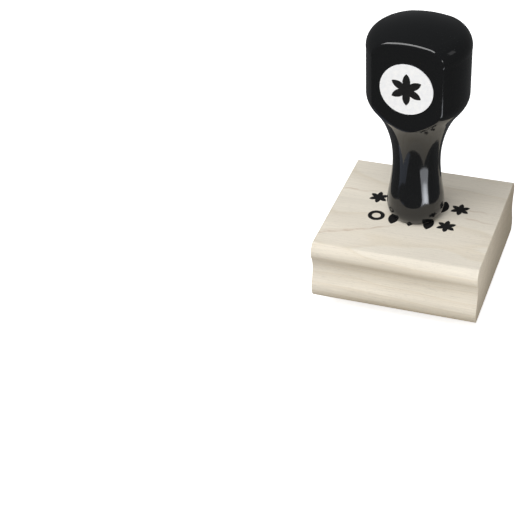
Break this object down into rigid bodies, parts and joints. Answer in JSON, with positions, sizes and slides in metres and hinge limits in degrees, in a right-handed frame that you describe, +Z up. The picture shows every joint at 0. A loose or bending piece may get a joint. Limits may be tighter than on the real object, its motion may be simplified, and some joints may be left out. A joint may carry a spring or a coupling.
{
  "type": "rubber stamp",
  "caption": "Hand stamp with a turned black handle on a moulded maple block, which carries a foam cushion and a rubber die with raised ornaments.",
  "frame": {"origin": "centre of the die's printing face, which is what the stamp stands on", "axes": "+Z up along the handle, +X to the right along the block's moulding, and -Y to the front, where the handle's label is"},
  "size_m": [0.0508, 0.0524, 0.0885],
  "materials": {
    "lacquered_wood": "gloss black lacquer on turned hardwood",
    "maple": "planed and moulded, unfinished",
    "black_ink": "matte printing ink",
    "white_vinyl": "satin self-adhesive vinyl",
    "brass": "knurled, as machined",
    "zinc_steel": "zinc plated",
    "adhesive_film": "clear adhesive on both sides",
    "foam": "closed-cell foam, grey",
    "die_rubber": "laser-engraved red rubber"
  },
  "bodies": {
    "mount": {"handle": "lacquered_wood", "handle_insert": "brass", "handle_screw": "zinc_steel", "screw_washer": "zinc_steel", "label_disc": "white_vinyl", "label_mark": "black_ink", "mount_block": "maple", "index_print": "black_ink", "upper_film": "adhesive_film", "foam_cushion": "foam"},
    "die": {"lower_film": "adhesive_film", "rubber_die": "die_rubber"}
  },
  "joints": [
    {"name": "die_press", "type": "slide", "parent": "mount", "child": "die", "axis": [0, 0, 1], "range_m": [0, 0.0008], "stiffness_N_per_m": 2000, "springref_m": -0.0005, "deforming": ["foam_cushion"]}
  ]
}
